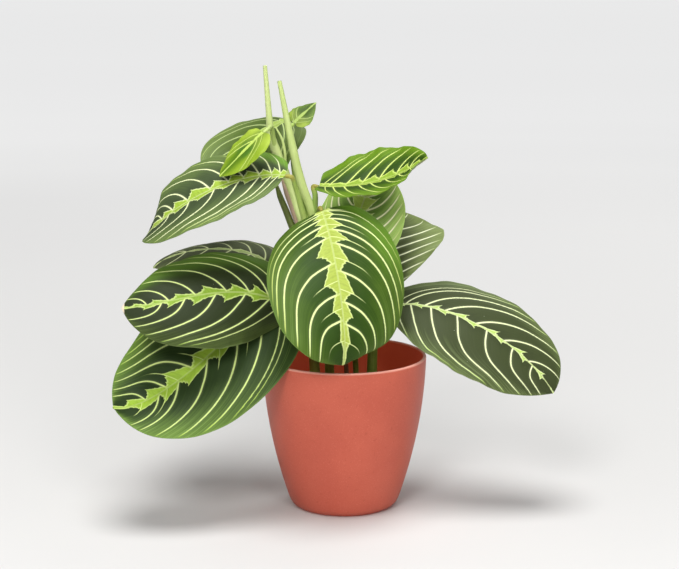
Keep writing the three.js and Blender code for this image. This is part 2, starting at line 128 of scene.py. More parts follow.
# Each leaf, in millimetres, degrees and display colours. A pair is for its left and right half, seen
# from above with the tip ahead. Places along it run from 0 at the stalk to 1 at the tip, and places
# across it from 0 at the midrib to 1 at the margin.
#   midrib: four points that steer it from stalk to tip
#   half_width: of the widest place; sides: share of it that each half gets
#   fullness: how slowly it widens from the stalk; point: how drawn out its tip is
#   face: the way its upper side looks; twist: turn from stalk to tip
#   fold: rise of the halves beside the midrib; droop: how far they bend down again towards the margin
#   lobe: how far the base sweeps back past the stalk; wave, waves: height and number of the ripples
#   veins: where each side vein leaves the midrib; vein_width: their width
#   lean: how steeply the veins set out; reach: how wide they bow
#   dark, outer: greens at the midrib and at the margin; inner, light: places across, between which
#   one turns into the other; deep: strength of the dark green on the half beside the stalk
#   glow: (half, place along, reach, strength) of a painted highlight, brighter green at the margin standing
#       for sheen, half 0 left, 1 right
#   band: (place along, width) of the pale lobes; band_base: width between them; sharp: thins them
#   spur: length of the pale threads ahead of the lobes; under: colour of the underside
#   blotch: dark patches beside the midrib; specks: share of the pale dots; dry_tip: a withered tip
LEAVES = {
    "leaf_front": dict(
        midrib=((-14, -14, 195), (-6, -41, 180), (4, -77, 122), (-1, -64, 107)),
        half_width=44, face=(0.2, -0.97, 0.14), fold=(6, 4), droop=(36, 20), twist=-36,
        wave=0.8, waves=2.5,
        veins=((0.015, 0.077, 0.155, 0.241, 0.39, 0.55, 0.67), (0.03, 0.07, 0.121, 0.206, 0.35, 0.51, 0.65)),
        lean=(1.04, 1.5), reach=(1.13, 1.05), slot="leaf_blade",
        dark=(46, 72, 16), outer=(79, 106, 34), band_colour=(170, 187, 80), vein_colour=(228, 242, 164),
        band=((0, 5), (0.1, 8), (0.25, 10.5), (0.45, 9.5), (0.58, 6), (0.7, 4.2), (0.85, 2.6), (0.95, 1)),
        band_base=2.7, vein_width=1.22, spur=16, inner=0.25, light=0.95, glow=(0, 0.0, 0.42, 0.5),
    ),
    "leaf_left_middle": dict(
        midrib=((-33, -23, 135), (-70, -37, 159), (-102, -53, 142), (-137, -50, 140)),
        half_width=35.5, face=(-0.28, -0.79, 0.55), fold=(1, 2), droop=(35, 35), twist=6, wave=0.8, waves=3,
        veins=((0.04, 0.119, 0.261, 0.44, 0.62, 0.76), (0.06, 0.13, 0.24, 0.374, 0.555, 0.717, 0.85)),
        lean=(1.03, 0.93), reach=(0.95, 1.21), slot="leaf_blade_dark",
        dark=(43, 53, 26), outer=(77, 93, 43), band_colour=(134, 167, 52), vein_colour=(217, 234, 148),
        band=((0, 3.6), (0.2, 6), (0.55, 5.6), (0.8, 3.4), (1, 1.5)), band_base=1.6, sharp=1.6,
        vein_width=1.01, inner=0.45, light=1.2, dry_tip=1, specks=0.4, glow=(1, 0.5, 0.5, 0.4),
    ),
    "leaf_left_low": dict(
        midrib=((-41, -3, 147), (-65, -35, 125), (-117, -38, 69), (-142, -62, 80)),
        half_width=46, face=(0.1, -0.74, 0.66), fold=(12, 6), droop=(15, 20), twist=16, wave=0.8, waves=2.5,
        veins=((0.02, 0.059, 0.165, 0.295, 0.458, 0.611, 0.716), (0.08, 0.17, 0.27, 0.4, 0.53, 0.67, 0.79)),
        lean=(0.77, 1.6), reach=(1.15, 0.97), slot="leaf_blade",
        dark=(42, 60, 26), outer=(98, 128, 48), band_colour=(158, 192, 62), vein_colour=(211, 230, 140),
        band=((0, 6), (0.3, 10), (0.6, 9), (0.75, 7.5), (0.88, 4.5), (0.96, 1.5)), band_base=2.2,
        vein_width=1.15, spur=9, inner=0.25, light=1.1, deep=0.85, specks=0.25,
    ),
    "leaf_left_back": dict(
        midrib=((-46, 14, 150), (-53, 22, 171), (-112, 31, 166), (-125, 26, 151)),
        half_width=33, face=(-0.05, -0.41, 0.91), fold=(8, -10), droop=(20, 34), twist=22, wave=1.0, waves=3,
        veins=((0.05, 0.14, 0.26, 0.4, 0.55, 0.7), (0.05, 0.14, 0.26, 0.4, 0.55, 0.7)),
        lean=(1, 1), reach=(1.1, 1.1), slot="leaf_blade_dark",
        dark=(80, 88, 58), outer=(122, 134, 84), band_colour=(140, 165, 80), vein_colour=(222, 230, 172),
        band=((0, 1.6), (0.3, 2.2), (0.8, 1.6)), band_base=1.0, vein_width=0.9, inner=0.3, light=1.0,
        under=(140, 112, 100),
    ),
    "leaf_upper_left": dict(
        midrib=((-37, -18, 218), (-70, -9, 220), (-111, -29, 199), (-126, -10, 177)),
        half_width=34, face=(-0.06, -0.46, 0.89), fold=(11, 8), droop=(15, 20), twist=2, lobe=2,
        wave=0.7, waves=3,
        veins=((0.03, 0.075, 0.152, 0.275, 0.425, 0.59, 0.74),
               (0.03, 0.084, 0.158, 0.25, 0.339, 0.45, 0.599, 0.71, 0.8)),
        lean=(1.51, 1.56), reach=(1.0, 1.35), slot="leaf_blade",
        dark=(66, 80, 50), outer=(98, 118, 62), band_colour=(154, 182, 62), vein_colour=(236, 243, 188),
        band=((0, 5), (0.25, 7.5), (0.5, 7.5), (0.7, 6), (0.85, 4), (0.95, 2)), band_base=2.0,
        vein_width=1.01, inner=0.3, light=0.95, glow=(1, 0.0, 0.2, 0.75),
    ),
    "leaf_young_left": dict(
        midrib=((-51, -10, 244), (-56, -13, 240), (-65, -15, 230), (-78, -16, 217)),
        half_width=15.5, face=(-0.15, -0.56, 0.82), fold=(13, 7), droop=(10, 20), twist=2, lobe=2,
        wave=0.5, waves=2, sides=(1, 0.7),
        veins=((0.03, 0.2), (0.06, 0.3)), lean=(0.3, 0.3), reach=(1.3, 1.3),
        slot="leaf_blade_young", dark=(90, 126, 24), outer=(134, 162, 40), band_colour=(186, 214, 92),
        vein_colour=(200, 222, 108), band=((0, 1.4), (0.5, 1.3), (1, 0.8)), band_base=1.0, vein_width=0.65,
        inner=0.1, light=0.8, blotch=1,
    ),
    "leaf_top_back": dict(
        midrib=((-34, 42, 246), (-45, 28, 251), (-78, 29, 221), (-70, 32, 197)),
        half_width=32, face=(0.4, -0.32, 0.86), fold=(6, -8), droop=(15, 35), twist=-22, wave=0.8, waves=2.5,
        veins=((0.06, 0.16, 0.28, 0.42, 0.57, 0.72), (0.06, 0.16, 0.28, 0.42, 0.57, 0.72)),
        lean=(1, 1), reach=(1.1, 1.1), slot="leaf_blade",
        dark=(78, 98, 42), outer=(101, 121, 60), band_colour=(160, 184, 86), vein_colour=(190, 210, 135),
        band=((0, 3), (0.3, 5), (0.8, 3)), band_base=2.4, vein_width=0.72, inner=0.2, light=0.95,
    ),
    "leaf_upper_right": dict(
        midrib=((-16, 6, 208), (10, -2, 207), (37, 4, 214), (52, -9, 228)),
        half_width=27, face=(0.06, -0.45, 0.89), fold=(15, 18), droop=(5, 0), twist=2, wave=0.9, waves=3.5,
        veins=((0.02, 0.075, 0.21, 0.35, 0.496, 0.66, 0.79),
               (0.05, 0.113, 0.2, 0.32, 0.42, 0.55, 0.68, 0.8)),
        lean=(0.55, 1.3), reach=(1.4, 1.5), slot="leaf_blade",
        dark=(48, 77, 14), outer=(95, 130, 20), band_colour=(141, 171, 53), vein_colour=(218, 234, 130),
        band=((0, 2.2), (0.3, 3.8), (0.6, 6), (0.8, 5.5), (0.95, 2.5)), band_base=2.0,
        vein_width=0.9, inner=0.3, light=0.85,
    ),
    "leaf_right_upright": dict(
        midrib=((1, 4, 152), (4, 11, 177), (14, 22, 202), (22, 31, 216)),
        half_width=31, face=(-0.19, -0.91, 0.37), fold=(-3, 9), droop=(35, 15), twist=-4,
        wave=0.8, waves=2.5,
        veins=((0.06, 0.16, 0.27, 0.39, 0.52, 0.66, 0.79), (0.06, 0.16, 0.27, 0.39, 0.52, 0.66, 0.79)),
        lean=(1, 1), reach=(1.15, 1.15), slot="leaf_blade",
        dark=(115, 149, 68), outer=(163, 195, 98), band_colour=(192, 216, 104), vein_colour=(255, 255, 208),
        band=((0, 6), (0.4, 9), (0.8, 10), (0.95, 4)), band_base=4, vein_width=1.2, inner=0.3, light=0.95,
    ),
    "leaf_right_back": dict(
        midrib=((34, 14, 140), (27, 20, 156), (23, 30, 173), (24, 42, 190)),
        half_width=41, face=(0.12, -0.99, 0.06), fold=(8, 9), droop=(20, 13), twist=15,
        fullness=0.82, lobe=0, wave=1.2, waves=3.5,
        veins=((0.05, 0.14, 0.24, 0.34, 0.44, 0.54, 0.66, 0.79),
               (0.05, 0.14, 0.24, 0.34, 0.44, 0.54, 0.66, 0.79)),
        lean=(1.0, 1.0), reach=(2.2, 2.2), slot="leaf_blade_dark",
        dark=(70, 80, 44), outer=(116, 131, 76), band_colour=(160, 180, 96), vein_colour=(240, 245, 204),
        band=((0, 3), (0.3, 5), (0.8, 4)), band_base=2.2, vein_width=0.83, inner=0.3, light=0.9,
    ),
    "leaf_right_low": dict(
        midrib=((30, -6, 133), (67, -9, 139), (116, -27, 110), (132, -31, 81)),
        half_width=36, face=(0.12, -0.65, 0.75), fold=(3, 2), droop=(30, 30), twist=18, wave=0.8, waves=3.5,
        veins=((0.03, 0.08, 0.182, 0.29, 0.451, 0.61, 0.77), (0.03, 0.108, 0.215, 0.357, 0.513, 0.668, 0.8)),
        lean=(0.57, 2.0), reach=(1.27, 1.1), slot="leaf_blade_dark",
        dark=(64, 73, 42), outer=(98, 113, 64), band_colour=(176, 206, 100), vein_colour=(238, 246, 190),
        band=((0, 1.6), (0.25, 3.5), (0.75, 3.8), (1, 1.6)), band_base=0.55, sharp=3,
        vein_width=1.08, inner=0.55, light=1.15, specks=0.4,
    ),
    "leaf_young_right": dict(
        midrib=((-32, 8, 248), (-28, 10, 252), (-24, 13, 255), (-18, 16, 260)),
        half_width=8.8, fullness=0.3, point=0.6, face=(0.08, -0.57, 0.82), fold=(6, 8), droop=(25, 20),
        twist=0, lobe=1, wave=0.3, waves=2,
        veins=((0.03, 0.2), (0.03, 0.22)), lean=(0.6, 0.6), reach=(1.2, 1.2), slot="leaf_blade_young",
        dark=(70, 96, 34), outer=(104, 130, 52), band_colour=(150, 176, 78), vein_colour=(176, 198, 112),
        band=((0, 1.2), (1, 0.8)), band_base=0.8, vein_width=0.43, inner=0.2, light=0.9,
    ),
}

# Stalks, as limbs grown into one: tone at the foot and at the end, from 0, dry and brown, to 1, pale
# yellow-green, then the leaf it carries or None, and its knots (x, y, z, radius)
STALKS = {
    "cane_left": [
        (0.5, 1.0, None, (-18, -6, 62.3, 3.4), (-18, -6, 76, 3.4), (-19.5, -6, 100, 3.3),
         (-21, -4, 140, 3.2), (-26, 1, 184, 3), (-31.2, 5, 196.5, 2.8), (-37.4, 9, 214.5, 2.9),
         (-43, 10, 228.5, 3.1), (-46.5, 9, 239.5, 2.6), (-47.7, 8, 253.5, 2), (-50, 7, 284, 1.3)),
        (0.8, 0.85, "leaf_young_left", (-44.5, 9, 232, 1.7), (-46, 4, 245, 1.5)),
        (0.86, 0.74, "leaf_upper_left", (-22, -3, 160, 1.8), (-24.5, -3.5, 183, 1.9),
         (-27.6, -5.5, 197, 1.8), (-30.5, -11, 209, 1.7)),
        (0.5, 0.5, "leaf_left_middle", (-19.5, -6, 98, 1.8), (-17, -18, 110, 1.8), (-21, -24, 122, 1.7)),
        (0.5, 0.5, "leaf_left_low", (-20.5, -4.5, 112, 1.8), (-26, 0, 138, 1.8)),
        (0.33, 0.3, None, (-25, 0, 158, 2.2), (-30.5, 3, 174, 2.3), (-36.5, 6, 190, 2.2), (-41, 7, 201, 1.9),
         (-43.5, 8, 209, 0.9)),
        (0.02, 0.0, None, (-22, -1, 160, 1.8), (-26.8, 2, 176, 2.1), (-32.2, 4, 192, 2.1),
         (-36.5, 6, 203, 1.8), (-39.5, 8, 212, 0.9)),
        (0.8, 0.95, None, (-36, 8.5, 212, 0.8), (-37.4, 8, 220, 1.0), (-37.7, 8, 229, 0.9),
         (-39.4, 8, 237, 0.8), (-43.5, 8.5, 245, 0.5)),
    ],
    "cane_right": [
        (0.5, 0.92, None, (-9, 0, 62.3, 3), (-9, 0, 76, 3), (-10, 1, 100, 3), (-14, 3.5, 150, 3),
         (-20.5, 5.5, 190, 3), (-26, 6, 205.6, 2.8), (-30, 6, 220, 2.7), (-32.5, 6, 231.5, 2.6),
         (-36, 7, 248, 2.1), (-38.7, 7.5, 262.4, 1.7), (-41, 8, 274.3, 1.4)),
        (0.8, 0.7, "leaf_young_right", (-31.5, 6, 228, 1.3), (-33.5, 7.5, 242, 1.2)),
        (0.6, 0.6, "leaf_upper_right", (-16, 4.5, 165, 1.8), (-18.6, 5, 190, 1.9), (-18.6, 6.5, 202, 1.8)),
        (0.6, 0.6, "leaf_front", (-16.5, 4, 172, 1.8), (-17.5, 1, 188, 1.8)),
        (0.5, 0.5, "leaf_left_back", (-11, 2, 108, 1.8), (-24, 9, 136, 1.7)),
        (0.7, 0.7, "leaf_top_back", (-19, 5, 176, 1.8), (-27, 9, 198, 1.8), (-32, 18, 215, 1.7),
         (-33, 32, 232, 1.6), (-30, 45, 243, 1.5)),
    ],
    "shoot_right": [
        (0.45, 0.55, None, (18, 8, 62.3, 3.5), (18, 8, 76, 3.5), (18.5, 8, 100, 3.2), (19, 8, 116, 2.2)),
        (0.5, 0.5, "leaf_right_low", (18.5, 8, 96, 2), (19.5, 3, 118, 1.9), (22, -3.5, 129, 1.8)),
        (0.5, 0.5, "leaf_right_back", (18.5, 8, 98, 2), (22, 11, 118, 1.8), (31, 12, 129, 1.7)),
    ],
    "stalk_upright": [
        (0.4, 0.55, "leaf_right_upright", (8, 4, 62.3, 1.9), (8, 4, 76, 1.9), (6.5, 3.5, 105, 1.8),
         (2, 1, 140, 1.6)),
    ],
    "dry_stalk": [
        (0.14, 0.1, None, (2, -4, 62.3, 1.6), (2, -4, 76, 1.6), (1, -5, 96, 1.4), (-2, -5, 124, 1)),
    ],
}
SLOTS = {"cane_left": "cane_green", "cane_right": "cane_green", "shoot_right": "cane_green",
         "stalk_upright": "cane_green", "dry_stalk": "dry_stalk"}


# Meshes

def pick(piece):
    bpy.ops.object.select_all(action="DESELECT")
    piece.select_set(True)
    bpy.context.view_layer.objects.active = piece


def read_points(piece):
    flat = np.empty(len(piece.data.vertices) * 3, np.float32)
    piece.data.vertices.foreach_get("co", flat)
    return flat.reshape(-1, 3)


def move_points(piece, points):
    piece.data.vertices.foreach_set("co", points.astype(np.float32).ravel())
    piece.data.update()


def mapped_grid(name, columns, rows, points):
    """A grid primitive laid over points[row, column]; returns it and each vertex's row and column."""
    bpy.ops.object.select_all(action="DESELECT")
    bpy.ops.mesh.primitive_grid_add(x_subdivisions=columns, y_subdivisions=rows, size=2)
    piece = bpy.context.object
    piece.name = name
    piece.data.name = name
    flat = read_points(piece)
    column = np.rint((flat[:, 0] + 1) / 2 * columns).astype(int)
    row = np.rint((flat[:, 1] + 1) / 2 * rows).astype(int)
    move_points(piece, points[row, column] * MM)
    return piece, row, column


def write_attribute(piece, name, values):
    """Three numbers for each vertex, which the piece's material reads."""
    attribute = piece.data.attributes.new(name, "FLOAT_VECTOR", "POINT")
    attribute.data.foreach_set("vector", values.astype(np.float32).ravel())


def weld(piece):
    """Joins the seam and the poles of a grid that closes on itself."""
    pick(piece)
    bpy.ops.object.mode_set(mode="EDIT")
    bpy.ops.mesh.select_all(action="SELECT")
    bpy.ops.mesh.remove_doubles(threshold=0.00002)
    bpy.ops.mesh.normals_make_consistent(inside=False)
    bpy.ops.object.mode_set(mode="OBJECT")


def smooth_shade(piece, angle):
    pick(piece)
    bpy.ops.object.shade_smooth_by_angle(angle=math.radians(angle))


def join(name, pieces):
    bpy.ops.object.select_all(action="DESELECT")
    for piece in pieces:
        piece.select_set(True)
    bpy.context.view_layer.objects.active = pieces[0]
    bpy.ops.object.join()
    pieces[0].name = name
    pieces[0].data.name = name
    return pieces[0]


def unit(vectors):
    return vectors / np.maximum(np.linalg.norm(vectors, axis=-1, keepdims=True), 1e-9)


# Material nodes

class Field:
    """A value inside a material; arithmetic on it adds Math nodes."""

    def __init__(self, paint, socket):
        self.paint = paint
        self.socket = socket

    def __add__(self, other):
        return self.paint.math("ADD", self, other)

    def __radd__(self, other):
        return self.paint.math("ADD", other, self)

    def __sub__(self, other):
        return self.paint.math("SUBTRACT", self, other)

    def __rsub__(self, other):
        return self.paint.math("SUBTRACT", other, self)

    def __mul__(self, other):
        return self.paint.math("MULTIPLY", self, other)

    def __rmul__(self, other):
        return self.paint.math("MULTIPLY", other, self)

    def __truediv__(self, other):
        return self.paint.math("DIVIDE", self, other)

    def __pow__(self, other):
        return self.paint.math("POWER", self, other)

    def __abs__(self):
        return self.paint.math("ABSOLUTE", self)

    def __gt__(self, other):
        return self.paint.math("GREATER_THAN", self, other)

    def __lt__(self, other):
        return self.paint.math("LESS_THAN", self, other)


class Paint:
    """One procedural material."""

    def __init__(self, name):
        self.material = bpy.data.materials.new(name)
        self.material.use_nodes = True
        self.tree = self.material.node_tree
        self.tree.nodes.clear()

    def node(self, kind, settings=None, inputs=None):
        made = self.tree.nodes.new("ShaderNode" + kind)
        for key, value in (settings or {}).items():
            setattr(made, key, value)
        for key, value in (inputs or {}).items():
            if isinstance(value, Field):
                self.tree.links.new(value.socket, made.inputs[key])
            else:
                made.inputs[key].default_value = value
        return made

    def field(self, kind, settings=None, inputs=None, output=0):
        return Field(self, self.node(kind, settings, inputs).outputs[output])

    def math(self, operation, *values):
        return self.field("Math", {"operation": operation}, dict(enumerate(values)))

    def smooth(self, value, low, high):
        """0 below low, 1 above high, eased between."""
        inputs = {"Value": value, "From Min": low, "From Max": high}
        return self.field("MapRange", {"interpolation_type": "SMOOTHSTEP"}, inputs)

    def mix(self, share, first, second):
        return self.field("Mix", {"data_type": "RGBA"}, {0: share, 6: first, 7: second}, 2)

    def split(self, vector):
        node = self.node("SeparateXYZ", None, {0: vector})
        return [Field(self, socket) for socket in node.outputs]

    def attribute(self, name):
        return self.split(self.field("Attribute", {"attribute_name": name}, None, "Vector"))

    def vector(self, x, y, z):
        return self.field("CombineXYZ", None, {0: x, 1: y, 2: z})

    def place(self):
        return self.field("TexCoord", None, None, "Object")

    def noise(self, vector, scale, detail=2.0, roughness=0.5):
        inputs = {"Vector": vector, "Scale": scale, "Detail": detail, "Roughness": roughness}
        return self.field("TexNoise", None, inputs, 0)

    def chances(self, seed):
        """Three fixed random numbers for each whole value of seed."""
        return self.split(self.field("TexWhiteNoise", {"noise_dimensions": "1D"}, {"W": seed}, "Color"))

    def ramp(self, value, stops):
        """stops: (place, number or colour)."""
        node = self.node("ValToRGB", None, {0: value})
        elements = node.color_ramp.elements
        while len(elements) < len(stops):
            elements.new(0.5)
        for element, stop in zip(elements, stops):
            element.position = stop[0]
        for element, stop in zip(elements, stops):
            shade = stop[1]
            element.color = shade if isinstance(shade, tuple) else (shade, shade, shade, 1)
        return Field(self, node.outputs[0])

    def finish(self, colour, roughness, height, specular, glow=None):
        """Makes the surface; height, in millimetres or None, is its relief."""
        inputs = {"Base Color": colour, "Roughness": roughness, "Specular IOR Level": specular}
        if glow is not None:
            inputs.update({"Emission Color": glow, "Emission Strength": 1.0})
        if height is not None:
            inputs["Normal"] = self.field("Bump", None, {"Strength": 1.0, "Distance": MM, "Height": height})
        surface = self.field("BsdfPrincipled", None, inputs)
        self.node("OutputMaterial", None, {"Surface": surface})
        return self.material


# Leaves

def blade_half_width(leaf, along):
    """Half-width in mm along the midrib, 0 at the stalk and 1 at the tip."""
    fullness, point = leaf.get("fullness", 0.45), leaf.get("point", 0.06)

    def bare(s):
        return s ** fullness * np.sqrt(1 - s) * np.sqrt((1 - s) / (1 - s + point))

    widest = bare(np.arange(0.02, 1, 0.01)).max()
    least = np.where(along < 0.5, STALK_END_HALF_WIDTH, TIP_HALF_WIDTH)
    return np.maximum(least, leaf["half_width"] * bare(along) / widest)


def midrib_curve(leaf, along):
    """Points and headings of the midrib."""
    a, b, c, d = np.array(leaf["midrib"], float)
    t = along[:, None]
    points = (1 - t) ** 3 * a + 3 * (1 - t) ** 2 * t * b + 3 * (1 - t) * t ** 2 * c + t ** 3 * d
    heading = (1 - t) ** 2 * (b - a) + 2 * (1 - t) * t * (c - b) + t ** 2 * (d - c)
    return points, unit(heading)


def blade_points(leaf, along, across, half_width):
    """The blade's upper side: rows along the midrib, columns across it from left to right."""
    centre, heading = midrib_curve(leaf, along)
    face = unit(np.array(leaf["face"], float))
    up = unit(face - (heading @ face)[:, None] * heading)
    side = np.cross(heading, up)
    roll = np.radians(leaf["twist"]) * (along - 0.5)[:, None]
    up, side = up * np.cos(roll) + side * np.sin(roll), side * np.cos(roll) - up * np.sin(roll)
    right = (across > 0).astype(int)
    reach = np.abs(across)
    fold = np.radians(np.array(leaf["fold"], float))[right]
    droop = np.radians(np.array(leaf["droop"], float))[right]
    share = (np.arange(ARC_STEPS) + 0.5)[:, None] / ARC_STEPS
    slope = fold - droop * reach * share
    out = np.cos(slope).mean(0) * reach
    rise = np.sin(slope).mean(0) * reach
    width = half_width[:, None] * np.array(leaf.get("sides", (1, 1)), float)[right]
    full = leaf["half_width"]
    sweep = leaf.get("lobe", 3) * np.exp(-along / 0.1)[:, None]
    sweep = sweep * np.minimum(1, width * reach / (0.4 * full)) ** 2
    phase = 2 * np.pi * leaf["waves"] * along[:, None] + np.where(right == 1, 0, 1.9)
    ripple = leaf["wave"] * np.sin(phase) * reach ** 3 * np.minimum(1, half_width[:, None] / (0.5 * full))
    fine = 0.3 * np.sin(2.7 * phase + 1.0) * reach ** 6 * np.minimum(1, half_width[:, None] / full)
    ripple = ripple + fine
    points = centre[:, None] + side[:, None] * (np.sign(across) * out * width)[..., None]
    return points + up[:, None] * (rise * width + ripple)[..., None] - heading[:, None] * sweep[..., None]


def vein_start(leaf, half, along, share):
    """Where on the midrib the vein through a point set out; share is the distance from the
    midrib over the blade's full half-width. All veins are one bow, shrunk towards the tip."""
    step = np.linspace(0, 0.998, 600)
    bow = leaf["reach"][half] * (1 - np.exp(-leaf["lean"][half] * step / VEIN_BEND)) / (1 - step)
    left = np.maximum(1 - along, 1e-3)[:, None]
    return 1 - left * np.interp(share / left, bow, 1 / (1 - step))


def vein_number(start, veins):
    """Counts veins from the stalk: 1 on the first, 2 on the second, smooth between. It runs on
    before the first and after the last."""
    known = np.array([-0.4, 0, *veins, 1.02])
    counts = np.array([-1, 0.4, *range(1, len(veins) + 1), len(veins) + 1.6])
    gap = np.diff(known)
    slope = np.diff(counts) / gap
    tangent = np.r_[slope[0], 2 * slope[:-1] * slope[1:] / (slope[:-1] + slope[1:]), slope[-1]]
    k = np.clip(np.searchsorted(known, start) - 1, 0, len(gap) - 1)
    s = np.clip((start - known[k]) / gap[k], 0, 1)
    rise = (3 - 2 * s) * s * s
    return (counts[k] * (1 - rise) + counts[k + 1] * rise
            + gap[k] * s * (1 - s) * (tangent[k] * (1 - s) - tangent[k + 1] * s))


def spacing(points, number):
    """Millimetres on the surface from one whole number to the next."""
    along, across = np.gradient(points, axis=0), np.gradient(points, axis=1)
    rise, run = np.gradient(number, axis=0), np.gradient(number, axis=1)
    aa, ab, bb = (along ** 2).sum(-1), (along * across).sum(-1), (across ** 2).sum(-1)
    steep = (rise ** 2 * bb - 2 * rise * run * ab + run ** 2 * aa) / np.maximum(aa * bb - ab ** 2, 1e-9)
    return 1 / np.sqrt(np.maximum(steep, 1e-6))


def make_blade(name, leaf):
    """One leaf: a pleated sheet with a rib under its midrib."""
    spread = np.linspace(-1, 1, BLADE_COLUMNS + 1)
    across = np.sign(spread) * np.abs(spread) ** 1.25
    along = (1 - np.cos(np.pi * np.linspace(0, 1, BLADE_ROWS + 1))) / 2
    half_width = blade_half_width(leaf, along)
    points = blade_points(leaf, along, across, half_width)
    share = np.abs(across) * half_width[:, None] / leaf["half_width"]
    out = np.abs(across) * half_width[:, None]
    veins = []
    for half in (0, 1):
        start = vein_start(leaf, half, along, share)
        number = vein_number(start, leaf["veins"][half])
        veins.append(np.stack([number, spacing(points, number), start], -1))
    here = np.where((across > 0)[None, :, None], veins[1], veins[0])
    normal = unit(np.cross(np.gradient(points, axis=1), np.gradient(points, axis=0)))
    arch = np.abs(np.sin(np.pi * here[..., 0])) ** 0.8 - 0.5
    pleat = PLEAT * np.minimum(1, here[..., 1] / 8) * arch * smooth_step(0.5, 5, out)
    pleat = pleat * (1 - smooth_step(0.8, 1, np.abs(across)))
    channel = -CHANNEL_DEPTH * np.exp(-(out / CHANNEL_HALF_WIDTH) ** 2) * (1 - along)[:, None]
    points = points + normal * (pleat + channel)[..., None]
    piece, row, column = mapped_grid(name, BLADE_COLUMNS, BLADE_ROWS, points)
    write_attribute(piece, "vein_left", veins[0][row, column])
    write_attribute(piece, "vein_right", veins[1][row, column])
    write_attribute(piece, "place", np.stack([across[column], along[row], out[row, column]], -1))
    thin = piece.vertex_groups.new(name="thickness")
    weights = 1 - 0.5 * np.abs(across[column]) ** 3
    for index, weight in enumerate(weights):
        thin.add([index], float(weight), "REPLACE")
    blade_paint(piece, name, leaf)
    solid = piece.modifiers.new("solid", "SOLIDIFY")
    solid.thickness = BLADE_THICKNESS * MM
    solid.offset = -1
    solid.vertex_group = "thickness"
    solid.material_offset = 1
    bpy.ops.object.modifier_apply(modifier="solid")
    add_rib(piece, normal[row, column], out[row, column], along[row])
    smooth_shade(piece, 50)
    return piece


def add_rib(piece, normal, out, along):
    """Lets the midrib stand out below the blade, whose lower side is the second lot of vertices."""
    count = len(out)
    flat = read_points(piece)
    bulge = RIB_DEPTH * (1 - 0.75 * along) * np.clip(1 - (out / RIB_HALF_WIDTH) ** 2, 0, 1)
    flat[count:2 * count] -= (normal * bulge[:, None] * MM).astype(np.float32)
    move_points(piece, flat)


# Pale band beside the midrib, from one side vein (0) to the next (1): a lobe that points at the tip
LOBE = ((0, 0.16), (0.08, 0.34), (0.16, 0.36), (0.26, 0.54), (0.31, 0.53), (0.42, 0.74), (0.51, 0.84),
        (0.57, 1.0), (0.595, 0.76), (0.64, 0.56), (0.68, 0.6), (0.72, 0.4), (0.78, 0.27), (0.82, 0.3),
        (0.87, 0.13), (0.95, 0.04), (1.0, 0.16))
LOBE_PEAK = 0.585


def vein_fields(paint, leaf, seed):
    """What the blade's patterns are made from, on the side of the midrib where the point is: its
    place, the vein number, the gap between veins, where its vein starts, the distance to the nearest
    vein, and whether that is a real one."""
    across, along, out = paint.attribute("place")
    right = across > 0.0
    sides = [paint.attribute("vein_left"), paint.attribute("vein_right")]
    number, gap, start = [low + (high - low) * right for low, high in zip(*sides)]
    counts = [len(side) for side in leaf["veins"]]
    last = counts[0] + (counts[1] - counts[0]) * right
    wobble = paint.noise(paint.vector(along * 6.0, out * 0.08, seed), 1.0, 1.0)
    number = number + (wobble - 0.5) * 0.08
    nearest = paint.math("ROUND", number)
    real = (nearest > 0.5) * (nearest < last + 0.5)
    return dict(across=across, along=along, out=out, right=right, number=number, gap=gap, start=start,
                edge=abs(across), away=abs(number - nearest) * gap, real=real)


def vein_mask(paint, f, width, soft=0.22):
    """1 on the side veins, which thin out towards the margin and the tip."""
    thick = 0.55 + 0.45 * paint.smooth(f["start"], 0.0, 0.14)
    taper = 1.0 - 0.4 * f["edge"] ** 2.0 - 0.35 * paint.smooth(f["along"], 0.6, 1.0)
    half = width / 2 * thick * taper
    fade = 1.0 - paint.smooth(f["edge"], 0.92, 0.99)
    return (1.0 - paint.smooth(f["away"], half - soft, half + soft)) * fade * f["real"]


def blade_paint(piece, name, leaf):
    seed = SEED_STEP * sorted(LEAVES).index(name.removesuffix("_blade"))
    piece.data.materials.append(upper_paint(name + "_upper", leaf, seed))
    piece.data.materials.append(under_paint(name + "_under", leaf, seed))


